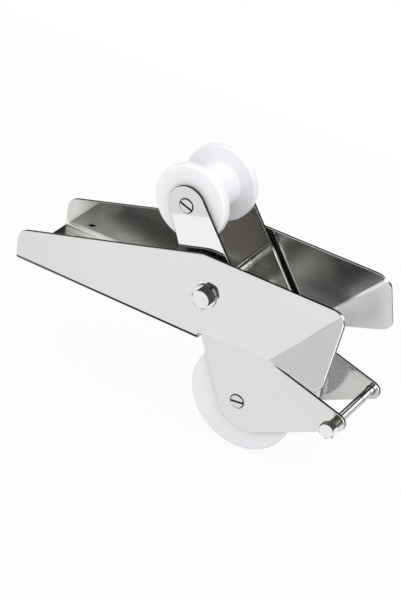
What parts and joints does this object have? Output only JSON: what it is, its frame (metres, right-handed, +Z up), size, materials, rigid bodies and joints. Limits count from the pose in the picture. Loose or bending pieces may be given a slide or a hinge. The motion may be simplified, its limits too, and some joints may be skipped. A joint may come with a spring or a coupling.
{
  "type": "hinged bow roller",
  "caption": "Folded steel channel for a boat's stemhead with a swinging cradle of steel plates that carries plastic rollers for an anchor and its chain.",
  "frame": {"origin": "middle of the deck bolt holes, on the underside of the channel floor", "axes": "+X to the bow along the channel, +Z up from the deck, +Y to port"},
  "size_m": [0.3364, 0.1276, 0.2471],
  "materials": {
    "channel_steel": "mirror polished",
    "plate_steel": "mirror polished",
    "fastener_steel": "bright",
    "roller_nylon": "satin",
    "washer_nylon": "satin"
  },
  "bodies": {
    "channel": {"channel_frame": "channel_steel", "pivot_bolt": "fastener_steel", "pivot_head_washer": "fastener_steel", "pivot_thrust_washer_near": "washer_nylon", "pivot_thrust_washer_far": "washer_nylon", "pivot_nut_washer": "fastener_steel", "pivot_lock_nut": "fastener_steel", "pivot_lock_nut_ring": "washer_nylon"},
    "cradle": {"cradle_plate_near": "plate_steel", "cradle_plate_far": "plate_steel", "upper_axle": "fastener_steel", "upper_axle_screw_near": "fastener_steel", "upper_axle_screw_far": "fastener_steel", "lower_axle": "fastener_steel", "lower_axle_screw_near": "fastener_steel", "lower_axle_screw_far": "fastener_steel", "retaining_bolt": "fastener_steel", "retaining_bolt_nut": "fastener_steel"},
    "upper_roller": {"upper_roller": "roller_nylon"},
    "lower_roller": {"lower_roller": "roller_nylon"}
  },
  "joints": [
    {"name": "cradle_hinge", "type": "hinge", "parent": "channel", "child": "cradle", "pos_m": [0.1355, 0, 0.0458], "axis": [0, -1, 0], "range_deg": [0, 70]},
    {"name": "upper_roller_spin", "type": "hinge", "parent": "cradle", "child": "upper_roller", "pos_m": [0.1019, 0, 0.1164], "axis": [0, -1, 0], "continuous": true},
    {"name": "lower_roller_spin", "type": "hinge", "parent": "cradle", "child": "lower_roller", "pos_m": [0.1767, 0, -0.0469], "axis": [0, -1, 0], "continuous": true}
  ]
}
